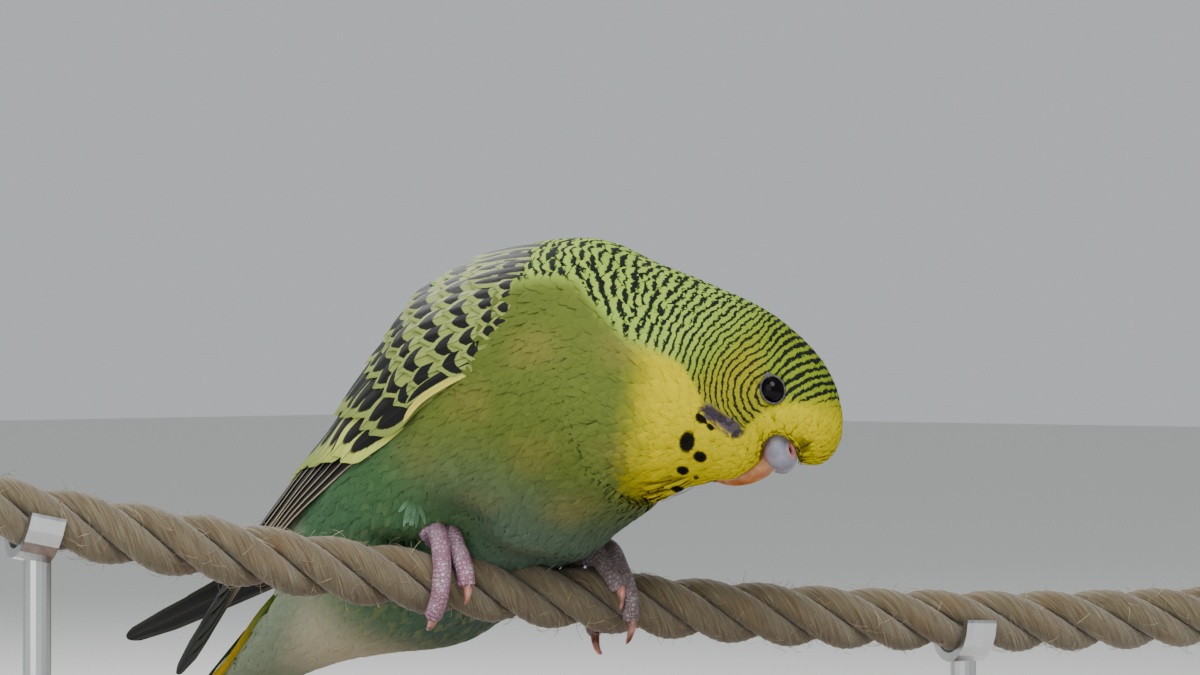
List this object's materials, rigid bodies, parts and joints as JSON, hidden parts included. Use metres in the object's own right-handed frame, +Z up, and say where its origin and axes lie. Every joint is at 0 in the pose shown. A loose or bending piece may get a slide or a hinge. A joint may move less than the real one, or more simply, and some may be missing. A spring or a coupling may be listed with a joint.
{
  "type": "budgerigar on a rope",
  "caption": "Life-size still budgerigar model, crouched with its head bowed, gripping a cut length of twisted rope held by two rods on a flat oval base.",
  "frame": {"origin": "middle of the underside of the stand's base, below the place where the bird grips the rope", "axes": "+Z up; the bird's body faces -Y and its right side is -X; the rope crosses it 26 degrees off X"},
  "size_m": [0.2166, 0.1859, 0.1244],
  "materials": {
    "face_feathers": "soft, yellow with black bars",
    "nape_feathers": "soft, yellow-green with black bars",
    "body_feathers": "soft, olive green",
    "wing_feathers": "matt, black with pale yellow edges",
    "tail_feathers": "matt, dark blue-green and yellow",
    "eye": "wet gloss",
    "cere": "waxy, pale lilac blue",
    "bill": "smooth horn",
    "foot_skin": "scaled, pink",
    "rope_fibre": "rough fibre",
    "stand_board": "satin, dark",
    "stand_steel": "brushed"
  },
  "bodies": {
    "root": {"head": "face_feathers", "neck": "nape_feathers", "torso": "body_feathers", "rump": "body_feathers", "wing_right": "wing_feathers", "wing_left": "wing_feathers", "tail": "tail_feathers", "eye_right": "eye", "eye_left": "eye", "cere": "cere", "bill_upper": "bill", "bill_lower": "bill", "foot_right": "foot_skin", "foot_left": "foot_skin", "leg_right": "foot_skin", "leg_left": "foot_skin", "rope": "rope_fibre", "stand_base": "stand_board", "stand_rod_left": "stand_steel", "stand_rod_right": "stand_steel"}
  },
  "joints": []
}
